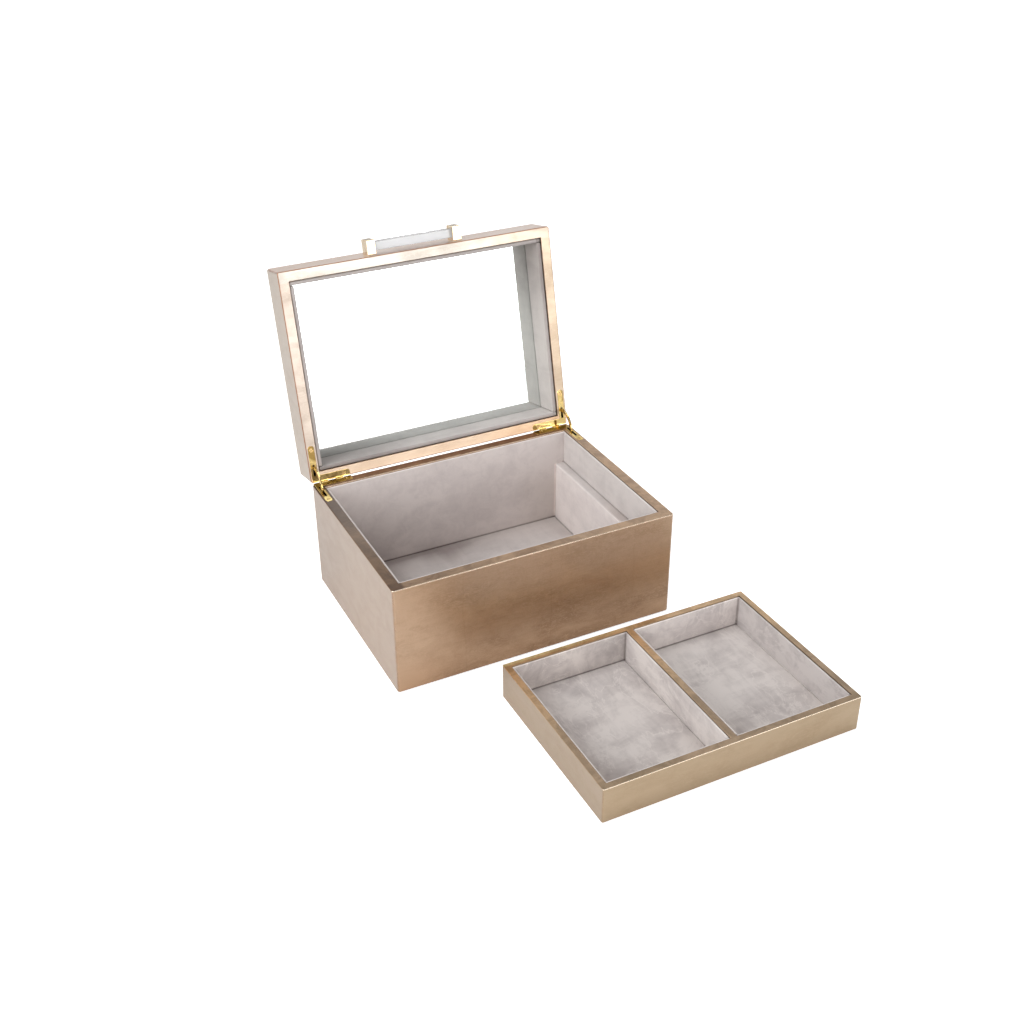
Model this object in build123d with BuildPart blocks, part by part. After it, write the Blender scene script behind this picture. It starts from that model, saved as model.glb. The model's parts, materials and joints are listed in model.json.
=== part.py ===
from build123d import *
import os
from math import sin, cos, radians, asin, degrees

# ---------------------------------------------------------------------------
# Jewelry box with a hinged, mirror-lined lid and a lift-out tray.
# Frame: millimetres, +Z up, origin at the centre of the base's underside,
# +X along the width, +Y to the hinge side (back), -Y to the front.
# Stored open: the lid leans back on its stay arms, and the tray lies on the
# same surface in front of the base, to the right.
# ---------------------------------------------------------------------------
os.makedirs("parts", exist_ok=True)

# --- driving dimensions ----------------------------------------------------
BOX_W = 279.4            # outside width (11 in)
BOX_D = 203.2            # outside depth (8 in)
BASE_H = 108.0           # height of the base
LID_GAP = 0.4            # gap between the rims when closed
LID_T = 36.4             # thickness of the lid
WALL = 10.0              # thickness of the walls of base and lid
CORNER_R = 2.5           # rounding of the upright outer corners
RIM_R = 0.8              # rounding of the outer edge of both rims
RIM_IN_R = 0.5           # rounding of the inner edge of both rims
FOOT_R = 1.5             # rounding round the foot of the base
TOP_R = 3.0              # rounding round the top of the lid

OPEN_LEAN = 12.6         # the open lid leans back this far past upright (deg)
HINGE_Y = BOX_D / 2 + 1.2   # hinge axis, just behind the back face
HINGE_Z = BASE_H - 1.0      # and just below the rim of the base

BOTTOM_T = 6.6           # bottom board of the base, flush with the foot of the walls
BOTTOM_Z = 0.0
LINER_SET = 0.3          # lining boards stand this far off the wood
BASE_LINER_FACE = 12.2   # lining face, from the outside of the base
LINER_DROP = 0.6         # lining edge below the rim
LEDGE_FACE = 21.5        # face of the lower side boards, from the outside
LEDGE_Z = 73.2           # top of the lower side boards, where the tray rests
FLOOR_TOP = 8.8          # top of the floor pad in the base

LID_LINER_FACE = 14.3    # lining face in the lid, from the outside
MIRROR_DEPTH = 30.5      # mirror face below the lid's rim
MIRROR_T = 2.0
LID_PANEL_T = LID_T - MIRROR_DEPTH - MIRROR_T   # top board of the lid

TRAY_W = 249.2
TRAY_D = 175.2
TRAY_H = 34.6
TRAY_WALL = 6.0
TRAY_DIV = 6.4           # thickness of the divider
TRAY_X0 = -59.5          # left face of the tray where it lies
TRAY_Y0 = -321.8         # front face of the tray where it lies
TRAY_LINER_FACE = 8.0    # lining face, from the outside of the tray
TRAY_BOTTOM_T = 2.4
TRAY_BOTTOM_Z = 0.4
TRAY_FLOOR_TOP = 4.0
TRAY_CORNER_R = 1.6
TRAY_RIM_R = 0.8

LEAF_T = 1.6             # thickness of the hinge leaves
LEAF_PROUD = 0.2         # leaves stand this far above the rim
LEAF_W = 6.4             # width of both legs of a leaf
LEAF_IN = 1.8            # leaf edge, from the side of the box
LEAF_SIDE_L = 36.8       # side leg, from the back face to its round end
LEAF_BACK_L = 39.9       # back leg, from the side face to its end
KNUCKLE_R = 1.1
PIN_R = 0.55
PIN_CLEAR = 0.05         # radial running clearance of the pin
KNUCKLE_X0 = 2.0         # first knuckle, from the side of the box
KNUCKLE_L = 7.4
KNUCKLE_GAP = 0.2
SCREW_SIDE = 32.4        # screw on the side leg, from the back face
SCREW_BACK = 33.4        # screw on the back leg, from the side face
SCREW_HEAD_R = 2.1
SCREW_R = 1.0
SCREW_L = 8.0
SLOT_W = 2.4             # slot in the side leg for the stay arm

ARM_R0 = 14.5            # inner radius of the stay arm, about the hinge axis
ARM_R1 = 18.0            # outer radius
ARM_T = 1.5              # thickness of the arm along X
ARM_HEAD_T = 3.2         # thickness of its stop heads
ARM_LOW = -9.5           # lower end of the arm at rest (deg above the base rim)
ARM_HEAD_ARC = 5.5       # arc taken by each stop head
ARM_HIGH = 120.9         # upper end of the arm at rest
ARM_IN = LEAF_IN + LEAF_W / 2   # middle of the arm, from the side of the box
POCKET_W = 4.4           # mortise in the wood that takes the arm

POST_X = 44.1            # middle of each handle post, from the middle of the lid
POST_W = 8.8
POST_OUT = 14.2          # how far the posts stand out of the lid
POST_H = 14.4
HANDLE_DEPTH = 14.5      # middle of the handle, from the lid's rim
BAR_LOW = 3.4            # gap between the lid and the bar
BAR_T = 8.2
BAR_H = 10.0
BAR_TENON = 1.5          # the bar's ends are let into the posts

# --- derived ---------------------------------------------------------------
HW, HD = BOX_W / 2, BOX_D / 2
LEAN = radians(OPEN_LEAN)
# closed position of the lid's back rim corner, seen from the hinge axis
_dy, _dz = HD - HINGE_Y, BASE_H + LID_GAP - HINGE_Z
_c, _s = cos(radians(-(90 + OPEN_LEAN))), sin(radians(-(90 + OPEN_LEAN)))
LID_Y = HINGE_Y + _c * _dy - _s * _dz      # the same corner with the lid open
LID_Z = HINGE_Z + _s * _dy + _c * _dz
# lid plane: X along the width, Y up the open lid from its hinge edge, and
# Z out of the rim, towards the front. The lid is below this plane.
LID_PLANE = Plane(origin=(0, LID_Y, LID_Z), x_dir=(1, 0, 0),
                  z_dir=(0, -cos(LEAN), sin(LEAN)))
# the hinge axis seen in that plane
AX = LID_PLANE.to_local_coords(Vector(0, HINGE_Y, HINGE_Z))
LEAF_TOP_BASE = BASE_H + LEAF_PROUD


def mitre_wedge(plane, side, hw, hd, height):
    """Keep the part of a frame that belongs to one of its four mitred sides."""
    far = 40.0
    a = hw - hd
    pts = {
        "front": [(-hw - far, -hd - far), (hw + far, -hd - far), (a, 0), (-a, 0)],
        "back": [(hw + far, hd + far), (-hw - far, hd + far), (-a, 0), (a, 0)],
        "left": [(-hw - far, hd + far), (-hw - far, -hd - far), (-a, 0)],
        "right": [(hw + far, -hd - far), (hw + far, hd + far), (a, 0)],
    }[side]
    with BuildSketch(plane) as wedge:
        Polygon(*pts, align=None)
    extrude(wedge.sketch, amount=height, mode=Mode.INTERSECT)


def ring(plane, hw, hd, wall, height, corner_r):
    """A rectangular frame with rounded upright corners, standing on a plane."""
    with BuildSketch(plane) as frame:
        RectangleRounded(2 * hw, 2 * hd, corner_r)
        Rectangle(2 * (hw - wall), 2 * (hd - wall), mode=Mode.SUBTRACT)
    extrude(frame.sketch, amount=height)


def leaf_sketch(plane, sx, back, recess=False, slot=None):
    """L-shaped outline of a hinge leaf: a side leg and a back leg, both round
    ended. sx is -1 for the left hinge and 1 for the right. back is 1 where the
    hinge edge is at +Y of the plane, and -1 where it is at -Y. A recess runs
    out through the back face. slot is the slot's two ends, from the back."""
    x0, x1 = HW - LEAF_IN, HW - LEAF_IN - LEAF_W
    xe = HW - LEAF_BACK_L
    ye = HD - LEAF_SIDE_L
    yb = HD - 0.1
    yi = HD - 6.6
    with BuildSketch(plane) as outline:
        Polygon((sx * x0, back * ye), (sx * x0, back * yb), (sx * xe, back * yb),
                (sx * xe, back * yi), (sx * x1, back * yi), (sx * x1, back * ye),
                align=None)
        ends = outline.vertices()
        fillet(ends.sort_by_distance((sx * (x0 + x1) / 2, back * ye))[0:2],
               LEAF_W / 2 - 0.05)
        fillet(outline.vertices().sort_by_distance((sx * xe, back * yi))[0], 2.8)
        fillet(outline.vertices().sort_by_distance((sx * xe, back * yb))[0], 0.6)
        if recess:
            Polygon((sx * x0, back * (HD - 3)), (sx * x0, back * (HD + 1)),
                    (sx * xe, back * (HD + 1)), (sx * xe, back * (HD - 3)), align=None)
        if slot:
            with Locations((sx * (HW - ARM_IN), back * (HD - (slot[0] + slot[1]) / 2))):
                SlotOverall(slot[1] - slot[0], SLOT_W, rotation=90, mode=Mode.SUBTRACT)
    return outline.sketch


def spots(plane, pts, r):
    """Round spots of one radius, at points of a plane."""
    with BuildSketch(plane) as s:
        with Locations(*pts):
            Circle(r)
    return s.sketch


def block(plane, x, y, w, h, rotation=0):
    """A rectangle of a plane, about its middle."""
    with BuildSketch(plane) as s:
        with Locations((x, y)):
            Rectangle(w, h, rotation=rotation)
    return s.sketch


# ===========================================================================
# BASE: four mitred walls and a bottom board
# ===========================================================================
def screw_spots(sx, back):
    """Where the two screws of a leaf are, in its own plane."""
    return [(sx * (HW - ARM_IN), back * (HD - SCREW_SIDE)),
            (sx * (HW - SCREW_BACK), back * (HD - 3.35))]


def base_wall(side):
    """One mitred wall of the base, with its rim and foot rounded, and with the
    recesses for the hinge leaves, the pockets for the stay arms and the pilot
    holes for the screws."""
    ring(Plane.XY, HW, HD, WALL, BASE_H, CORNER_R)
    b = BuildPart._get_context()
    top = b.part.faces().sort_by(Axis.Z)[-1]
    foot = b.part.faces().sort_by(Axis.Z)[0]
    fillet(top.outer_wire().edges(), RIM_R)
    fillet(b.part.faces().sort_by(Axis.Z)[-1].inner_wires()[0].edges(), RIM_IN_R)
    fillet(b.part.faces().sort_by(Axis.Z)[0].outer_wire().edges(), FOOT_R)
    mitre_wedge(Plane.XY, side, HW, HD, BASE_H)
    for sx in (-1, 1):
        if side == "left" and sx > 0 or side == "right" and sx < 0 or side == "front":
            continue
        leaf_floor = LEAF_TOP_BASE - LEAF_T
        extrude(leaf_sketch(Plane.XY.offset(leaf_floor), sx, 1, recess=True),
                amount=6, mode=Mode.SUBTRACT)
        extrude(block(Plane.XY.offset(90.3), sx * (HW - ARM_IN), (74.5 + 100.2) / 2,
                      POCKET_W, 100.2 - 74.5),
                amount=leaf_floor - 90.3 + 0.2, mode=Mode.SUBTRACT)
        extrude(spots(Plane.XY.offset(leaf_floor - SCREW_L), screw_spots(sx, 1),
                      SCREW_R + 0.06), amount=SCREW_L + 0.5, mode=Mode.SUBTRACT)


with BuildPart() as base_wall_front:
    base_wall("front")
base_wall_front.part.label = "base_wall_front"

with BuildPart() as base_wall_back:
    base_wall("back")
base_wall_back.part.label = "base_wall_back"

with BuildPart() as base_wall_left:
    base_wall("left")
base_wall_left.part.label = "base_wall_left"

with BuildPart() as base_wall_right:
    base_wall("right")
base_wall_right.part.label = "base_wall_right"

with BuildPart() as base_bottom:
    with BuildSketch(Plane.XY.offset(BOTTOM_Z)):
        Rectangle(BOX_W - 2 * WALL, BOX_D - 2 * WALL)
    extrude(amount=BOTTOM_T)
base_bottom.part.label = "base_bottom"

# --- lining of the base: suede-covered boards ------------------------------
FLOOR_Z = BOTTOM_Z + BOTTOM_T
LINER_TOP = BASE_H - LINER_DROP
LINER_T = BASE_LINER_FACE - WALL - LINER_SET       # 1.9
IN_X = HW - WALL - LINER_SET                       # back of the side boards
IN_Y = HD - WALL - LINER_SET
FACE_X = HW - BASE_LINER_FACE
FACE_Y = HD - BASE_LINER_FACE


def board(x0, x1, y0, y1, z0, z1, r=0.6):
    """A covered board with softly rounded edges, between two corners."""
    extrude(block(Plane.XY.offset(z0), (x0 + x1) / 2, (y0 + y1) / 2,
                  abs(x1 - x0), abs(y1 - y0)), amount=z1 - z0)
    b = BuildPart._get_context()
    fillet(b.part.edges(), r)


with BuildPart() as base_lining_front:
    board(-IN_X, IN_X, -IN_Y, -FACE_Y, FLOOR_Z, LINER_TOP)
base_lining_front.part.label = "base_lining_front"

with BuildPart() as base_lining_back:
    board(-IN_X, IN_X, FACE_Y, IN_Y, FLOOR_Z, LINER_TOP)
base_lining_back.part.label = "base_lining_back"

with BuildPart() as base_lining_left:
    board(-IN_X, -FACE_X, -FACE_Y, FACE_Y, LEDGE_Z, LINER_TOP)
base_lining_left.part.label = "base_lining_left"

with BuildPart() as base_lining_right:
    board(FACE_X, IN_X, -FACE_Y, FACE_Y, LEDGE_Z, LINER_TOP)
base_lining_right.part.label = "base_lining_right"

with BuildPart() as base_ledge_left:
    board(-IN_X, -(HW - LEDGE_FACE), -FACE_Y, FACE_Y, FLOOR_Z, LEDGE_Z, 1.2)
base_ledge_left.part.label = "base_ledge_left"

with BuildPart() as base_ledge_right:
    board(HW - LEDGE_FACE, IN_X, -FACE_Y, FACE_Y, FLOOR_Z, LEDGE_Z, 1.2)
base_ledge_right.part.label = "base_ledge_right"

with BuildPart() as base_floor_pad:
    board(-(HW - LEDGE_FACE), HW - LEDGE_FACE, -FACE_Y, FACE_Y, FLOOR_Z, FLOOR_TOP, 0.8)
base_floor_pad.part.label = "base_floor_pad"

# ===========================================================================
# LID: four mitred rails under a top board, standing open
# ===========================================================================
RAIL_T = LID_T - LID_PANEL_T       # the rails run from the rim to the top board
LID_C = LID_PLANE.to_local_coords(Vector(0, 0, 0))
LID_MID = Plane(origin=LID_PLANE.from_local_coords(Vector(0, HD, 0)),
                x_dir=(1, 0, 0), z_dir=LID_PLANE.z_dir)   # centre of the lid's rim


def lid_rail(side):
    """One mitred rail of the lid. In the lid's own plane the hinge edge is at
    -Y, so the side called back is at -Y and the side called front at +Y."""
    low = LID_MID.offset(-RAIL_T)
    ring(low, HW, HD, WALL, RAIL_T, CORNER_R)
    b = BuildPart._get_context()
    out = Axis(LID_MID.origin, LID_MID.z_dir)
    rim = b.part.faces().sort_by(out)[-1]
    fillet(rim.outer_wire().edges(), RIM_R)
    fillet(b.part.faces().sort_by(out)[-1].inner_wires()[0].edges(), RIM_IN_R)
    mitre_wedge(low, {"front": "back", "back": "front"}.get(side, side), HW, HD, RAIL_T)
    for sx in (-1, 1):
        if side == "left" and sx > 0 or side == "right" and sx < 0 or side == "front":
            continue
        floor = LEAF_PROUD - LEAF_T
        extrude(leaf_sketch(LID_MID.offset(floor), sx, -1, recess=True),
                amount=6, mode=Mode.SUBTRACT)
        extrude(block(LID_MID.offset(floor - 18.0), sx * (HW - ARM_IN),
                      -(82.8 + 100.2) / 2, POCKET_W, 100.2 - 82.8),
                amount=18.2, mode=Mode.SUBTRACT)
        extrude(spots(LID_MID.offset(floor - SCREW_L), screw_spots(sx, -1),
                      SCREW_R + 0.06), amount=SCREW_L + 0.5, mode=Mode.SUBTRACT)
    if side == "front":
        # holes for the handle screws, with their heads let in on the inside
        inner = lid_front_plane(-WALL)
        extrude(spots(inner, [(-POST_X, 0), (POST_X, 0)], 1.56),
                amount=WALL + 1, mode=Mode.SUBTRACT)
        extrude(spots(inner, [(-POST_X, 0), (POST_X, 0)], 2.85),
                amount=2.5, mode=Mode.SUBTRACT)


def lid_front_plane(out):
    """Plane parallel to the lid's front face, out mm outside it, with its
    origin in the middle of the handle; X along the width."""
    o = LID_PLANE.from_local_coords(Vector(0, BOX_D + out, -HANDLE_DEPTH))
    return Plane(origin=o, x_dir=(1, 0, 0), z_dir=LID_PLANE.y_dir)


with BuildPart() as lid_rail_front:
    lid_rail("front")
lid_rail_front.part.label = "lid_rail_front"

with BuildPart() as lid_rail_back:
    lid_rail("back")
lid_rail_back.part.label = "lid_rail_back"

with BuildPart() as lid_rail_left:
    lid_rail("left")
lid_rail_left.part.label = "lid_rail_left"

with BuildPart() as lid_rail_right:
    lid_rail("right")
lid_rail_right.part.label = "lid_rail_right"

with BuildPart() as lid_top_board:
    with BuildSketch(LID_MID.offset(-LID_T)):
        RectangleRounded(BOX_W, BOX_D, CORNER_R)
    extrude(amount=LID_PANEL_T)
    fillet(lid_top_board.faces().sort_by(Axis(LID_MID.origin, LID_MID.z_dir))[0].edges(), TOP_R)
lid_top_board.part.label = "lid_top_board"

with BuildPart() as lid_mirror:
    with BuildSketch(LID_MID.offset(-MIRROR_DEPTH - MIRROR_T)):
        Rectangle(BOX_W - 2 * WALL - 1.0, BOX_D - 2 * WALL - 1.0)
    extrude(amount=MIRROR_T)
    fillet(lid_mirror.faces().sort_by(Axis(LID_MID.origin, LID_MID.z_dir))[-1].edges(), 0.4)
lid_mirror.part.label = "lid_mirror"

LID_LINER_BACK = WALL + 0.4
LID_FX, LID_FY = HW - LID_LINER_FACE, HD - LID_LINER_FACE
LID_BX, LID_BY = HW - LID_LINER_BACK, HD - LID_LINER_BACK


def lid_board(x0, x1, y0, y1):
    """A covered lining board standing on the mirror, round the lid's inside."""
    extrude(block(LID_MID.offset(-MIRROR_DEPTH), (x0 + x1) / 2, (y0 + y1) / 2,
                  abs(x1 - x0), abs(y1 - y0)), amount=MIRROR_DEPTH - 0.5)
    b = BuildPart._get_context()
    fillet(b.part.edges(), 1.0)


with BuildPart() as lid_lining_front:
    lid_board(-LID_BX, LID_BX, LID_FY, LID_BY)
lid_lining_front.part.label = "lid_lining_front"

with BuildPart() as lid_lining_back:
    lid_board(-LID_BX, LID_BX, -LID_BY, -LID_FY)
lid_lining_back.part.label = "lid_lining_back"

with BuildPart() as lid_lining_left:
    lid_board(-LID_BX, -LID_FX, -LID_FY, LID_FY)
lid_lining_left.part.label = "lid_lining_left"

with BuildPart() as lid_lining_right:
    lid_board(LID_FX, LID_BX, -LID_FY, LID_FY)
lid_lining_right.part.label = "lid_lining_right"

# ===========================================================================
# HANDLE: a clear bar between two polished square posts on the lid's front
# ===========================================================================


def handle_post(sx):
    extrude(block(lid_front_plane(0), sx * POST_X, 0, POST_W, POST_H), amount=POST_OUT)
    b = BuildPart._get_context()
    base = b.part.faces().sort_by(Axis(LID_PLANE.origin, LID_PLANE.y_dir))[0]
    low = base.center()
    fillet([e for e in b.part.edges()
            if abs((e.center() - low).dot(LID_PLANE.y_dir)) > 0.01], 0.5)
    # blind thread for the screw that comes through the rail
    extrude(spots(lid_front_plane(0), [(sx * POST_X, 0)], 1.56), amount=3.6,
            mode=Mode.SUBTRACT)
    # blind socket for the end of the bar
    extrude(block(lid_front_plane(BAR_LOW), sx * (POST_X - POST_W / 2), 0,
                  2 * BAR_TENON, BAR_H), amount=BAR_T, mode=Mode.SUBTRACT)


with BuildPart() as handle_post_left:
    handle_post(-1)
handle_post_left.part.label = "handle_post_left"

with BuildPart() as handle_post_right:
    handle_post(1)
handle_post_right.part.label = "handle_post_right"

with BuildPart() as handle_bar:
    with BuildSketch(lid_front_plane(BAR_LOW)):
        Rectangle(2 * (POST_X - POST_W / 2 + BAR_TENON), BAR_H)
    extrude(amount=BAR_T)
    fillet(handle_bar.edges().filter_by(Axis.X), 0.6)
handle_bar.part.label = "handle_bar"

with BuildPart() as handle_screws:
    with BuildSketch(lid_front_plane(-WALL + 0.3)):
        with Locations((-POST_X, 0), (POST_X, 0)):
            Circle(2.75)
    extrude(amount=2.0)
    with BuildSketch(lid_front_plane(-WALL + 2.0)):
        with Locations((-POST_X, 0), (POST_X, 0)):
            Circle(1.5)
    extrude(amount=WALL - 2.0 + 3.4)
    with BuildSketch(lid_front_plane(-WALL + 0.3)):
        with Locations((-POST_X, 0), (POST_X, 0)):
            RegularPolygon(1.2, 6)
    extrude(amount=1.2, mode=Mode.SUBTRACT)
handle_screws.part.label = "handle_screws"

# ===========================================================================
# HINGES: a quadrant hinge at each back corner, with a curved stay arm
# ===========================================================================
KNUCKLE_STEP = KNUCKLE_L + KNUCKLE_GAP


def knuckle(sx, index, base):
    """One rolled knuckle about the hinge axis, with the tongue that joins it
    to its leaf. index counts from the side of the box."""
    x0 = HW - KNUCKLE_X0 - index * KNUCKLE_STEP
    xa, xb = (x0 - KNUCKLE_L, x0) if sx > 0 else (-x0, -x0 + KNUCKLE_L)
    with BuildSketch(Plane.YZ.offset(xa)) as roll:
        with Locations((HINGE_Y, HINGE_Z)):
            Circle(KNUCKLE_R)
        if base:
            Polygon((HD - 1.2, LEAF_TOP_BASE), (HD - 1.2, LEAF_TOP_BASE - 1.0),
                    (HD + 0.2, HINGE_Z - 0.4), (HINGE_Y, HINGE_Z - KNUCKLE_R + 0.1),
                    (HINGE_Y, LEAF_TOP_BASE), align=None)
        else:
            # tongue of the lid leaf, turned with the open lid, and the web that
            # carries it out to the axis
            pts = []
            for (u, w) in ((1.2, LEAF_PROUD), (-0.15, LEAF_PROUD), (-0.15, AX.Z),
                           (AX.Y, AX.Z), (AX.Y, LEAF_PROUD),
                           (AX.Y + 0.9, LEAF_PROUD - LEAF_T), (1.2, LEAF_PROUD - LEAF_T)):
                p = LID_PLANE.from_local_coords(Vector(0, u, w))
                pts.append((p.Y, p.Z))
            Polygon(*pts, align=None)
    extrude(roll.sketch, amount=xb - xa)


def pin_hole(sx):
    extrude(spots(Plane.YZ.offset(sx * (HW - KNUCKLE_X0 - 20)), [(HINGE_Y, HINGE_Z)],
                  PIN_R + PIN_CLEAR), amount=24, both=True, mode=Mode.SUBTRACT)


def countersinks(plane, pts):
    """Countersunk clearance holes: a cone at the surface and a hole below."""
    for p in pts:
        loft([spots(plane, [p], SCREW_HEAD_R + 0.06).face(),
              spots(plane.offset(-1.1), [p], SCREW_R + 0.06).face()],
             mode=Mode.SUBTRACT)
        extrude(spots(plane.offset(-3), [p], SCREW_R + 0.06), amount=3,
                mode=Mode.SUBTRACT)


def base_leaf(sx):
    extrude(leaf_sketch(Plane.XY.offset(LEAF_TOP_BASE - LEAF_T), sx, 1, slot=(6.6, 26.6)),
            amount=LEAF_T)
    b = BuildPart._get_context()
    top = b.part.faces().sort_by(Axis.Z)[-1]
    chamfer(top.outer_wire().edges(), 0.25)
    for i in (0, 2, 4):
        knuckle(sx, i, True)
    pin_hole(sx)
    countersinks(Plane.XY.offset(LEAF_TOP_BASE), screw_spots(sx, 1))


def lid_leaf(sx):
    extrude(leaf_sketch(LID_MID.offset(LEAF_PROUD - LEAF_T), sx, -1, slot=(6.6, 18.2)),
            amount=LEAF_T)
    b = BuildPart._get_context()
    top = b.part.faces().sort_by(Axis(LID_MID.origin, LID_MID.z_dir))[-1]
    chamfer(top.outer_wire().edges(), 0.25)
    for i in (1, 3):
        knuckle(sx, i, False)
    pin_hole(sx)
    countersinks(LID_MID.offset(LEAF_PROUD), screw_spots(sx, -1))


with BuildPart() as hinge_base_leaf_left:
    base_leaf(-1)
hinge_base_leaf_left.part.label = "hinge_base_leaf_left"

with BuildPart() as hinge_base_leaf_right:
    base_leaf(1)
hinge_base_leaf_right.part.label = "hinge_base_leaf_right"

with BuildPart() as hinge_lid_leaf_left:
    lid_leaf(-1)
hinge_lid_leaf_left.part.label = "hinge_lid_leaf_left"

with BuildPart() as hinge_lid_leaf_right:
    lid_leaf(1)
hinge_lid_leaf_right.part.label = "hinge_lid_leaf_right"

PIN_LEN = 5 * KNUCKLE_STEP - KNUCKLE_GAP - 0.4


def hinge_pin(sx):
    xa = HW - KNUCKLE_X0 - 0.2
    extrude(spots(Plane.YZ.offset(sx * xa), [(HINGE_Y, HINGE_Z)], PIN_R),
            amount=-sx * PIN_LEN)


with BuildPart() as hinge_pin_left:
    hinge_pin(-1)
hinge_pin_left.part.label = "hinge_pin_left"

with BuildPart() as hinge_pin_right:
    hinge_pin(1)
hinge_pin_right.part.label = "hinge_pin_right"


def leaf_screws(plane, pts):
    """Countersunk slotted screws, their heads flush with the leaf."""
    for n, p in enumerate(pts):
        loft([spots(plane.offset(-0.12), [p], SCREW_HEAD_R - 0.06).face(),
              spots(plane.offset(-1.16), [p], SCREW_R).face()])
        extrude(spots(plane.offset(-SCREW_L + 0.2), [p], SCREW_R), amount=SCREW_L - 1.36)
        extrude(block(plane.offset(-0.5), p[0], p[1], 2 * SCREW_HEAD_R + 1, 0.5,
                      25 + 37 * n), amount=1, mode=Mode.SUBTRACT)


with BuildPart() as hinge_base_screws:
    leaf_screws(Plane.XY.offset(LEAF_TOP_BASE),
                screw_spots(-1, 1) + screw_spots(1, 1))
hinge_base_screws.part.label = "hinge_base_screws"

with BuildPart() as hinge_lid_screws:
    leaf_screws(LID_MID.offset(LEAF_PROUD),
                screw_spots(-1, -1) + screw_spots(1, -1))
hinge_lid_screws.part.label = "hinge_lid_screws"


def arc_pt(r, a):
    """Point at radius r about the hinge axis, a degrees up from the front."""
    return (HINGE_Y - r * cos(radians(a)), HINGE_Z + r * sin(radians(a)))


def sector(x, r0, r1, a0, a1):
    """Part of a ring about the hinge axis, in the plane across it at x."""
    am = (a0 + a1) / 2
    with BuildSketch(Plane.YZ.offset(x)) as s:
        with BuildLine():
            ThreePointArc(arc_pt(r0, a0), arc_pt(r0, am), arc_pt(r0, a1))
            Line(arc_pt(r0, a1), arc_pt(r1, a1))
            ThreePointArc(arc_pt(r1, a1), arc_pt(r1, am), arc_pt(r1, a0))
            Line(arc_pt(r1, a0), arc_pt(r0, a0))
        make_face()
    return s.sketch


def stay_arm(sx):
    """Curved strip about the hinge axis, with a thicker stop at each end."""
    xm = sx * (HW - ARM_IN)
    extrude(sector(xm - ARM_T / 2, ARM_R0, ARM_R1, ARM_LOW, ARM_HIGH), amount=ARM_T)
    b = BuildPart._get_context()
    fillet(b.part.edges().filter_by(GeomType.CIRCLE), 0.3)
    for a in (ARM_LOW, ARM_HIGH - ARM_HEAD_ARC):
        extrude(sector(xm - ARM_HEAD_T / 2, ARM_R0, ARM_R1, a, a + ARM_HEAD_ARC),
                amount=ARM_HEAD_T)


with BuildPart() as stay_arm_left:
    stay_arm(-1)
stay_arm_left.part.label = "stay_arm_left"

with BuildPart() as stay_arm_right:
    stay_arm(1)
stay_arm_right.part.label = "stay_arm_right"

# ===========================================================================
# TRAY: four mitred walls, a bottom, a divider and the lining of both halves
# ===========================================================================
TX, TY = TRAY_X0 + TRAY_W / 2, TRAY_Y0 + TRAY_D / 2       # middle of the tray
THW, THD = TRAY_W / 2, TRAY_D / 2
TRAY_PLANE = Plane(origin=(TX, TY, 0))


def tray_wall(side):
    ring(TRAY_PLANE, THW, THD, TRAY_WALL, TRAY_H, TRAY_CORNER_R)
    b = BuildPart._get_context()
    fillet(b.part.faces().sort_by(Axis.Z)[-1].outer_wire().edges(), TRAY_RIM_R)
    fillet(b.part.faces().sort_by(Axis.Z)[0].outer_wire().edges(), TRAY_RIM_R)
    mitre_wedge(TRAY_PLANE, side, THW, THD, TRAY_H)


with BuildPart() as tray_wall_front:
    tray_wall("front")
tray_wall_front.part.label = "tray_wall_front"

with BuildPart() as tray_wall_back:
    tray_wall("back")
tray_wall_back.part.label = "tray_wall_back"

with BuildPart() as tray_wall_left:
    tray_wall("left")
tray_wall_left.part.label = "tray_wall_left"

with BuildPart() as tray_wall_right:
    tray_wall("right")
tray_wall_right.part.label = "tray_wall_right"

TRAY_FLOOR_Z = TRAY_BOTTOM_Z + TRAY_BOTTOM_T
with BuildPart() as tray_bottom:
    with BuildSketch(TRAY_PLANE.offset(TRAY_BOTTOM_Z)):
        Rectangle(TRAY_W - 2 * TRAY_WALL, TRAY_D - 2 * TRAY_WALL)
    extrude(amount=TRAY_BOTTOM_T)
tray_bottom.part.label = "tray_bottom"

with BuildPart() as tray_divider:
    with BuildSketch(TRAY_PLANE.offset(TRAY_FLOOR_Z)):
        Rectangle(TRAY_DIV, TRAY_D - 2 * TRAY_WALL)
    extrude(amount=TRAY_H - TRAY_FLOOR_Z)
    fillet(tray_divider.faces().sort_by(Axis.Z)[-1].edges().filter_by(Axis.Y), TRAY_RIM_R)
tray_divider.part.label = "tray_divider"

T_OUT_X = THW - TRAY_WALL - 0.2          # back of the outer lining boards
T_FACE_X = THW - TRAY_LINER_FACE
T_IN_X = TRAY_DIV / 2 + 0.2
T_INFACE_X = TRAY_DIV / 2 + 2.0
T_BACK_Y = THD - TRAY_WALL - 0.2
T_FACE_Y = THD - TRAY_LINER_FACE
T_TOP = TRAY_H - 0.5

with BuildPart() as tray_lining_left_front:
    board(TX - T_OUT_X, TX - T_IN_X, TY - T_BACK_Y, TY - T_FACE_Y, TRAY_FLOOR_Z, T_TOP)
tray_lining_left_front.part.label = "tray_lining_left_front"

with BuildPart() as tray_lining_left_back:
    board(TX - T_OUT_X, TX - T_IN_X, TY + T_FACE_Y, TY + T_BACK_Y, TRAY_FLOOR_Z, T_TOP)
tray_lining_left_back.part.label = "tray_lining_left_back"

with BuildPart() as tray_lining_left_outer:
    board(TX - T_OUT_X, TX - T_FACE_X, TY - T_FACE_Y, TY + T_FACE_Y, TRAY_FLOOR_Z, T_TOP)
tray_lining_left_outer.part.label = "tray_lining_left_outer"

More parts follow.
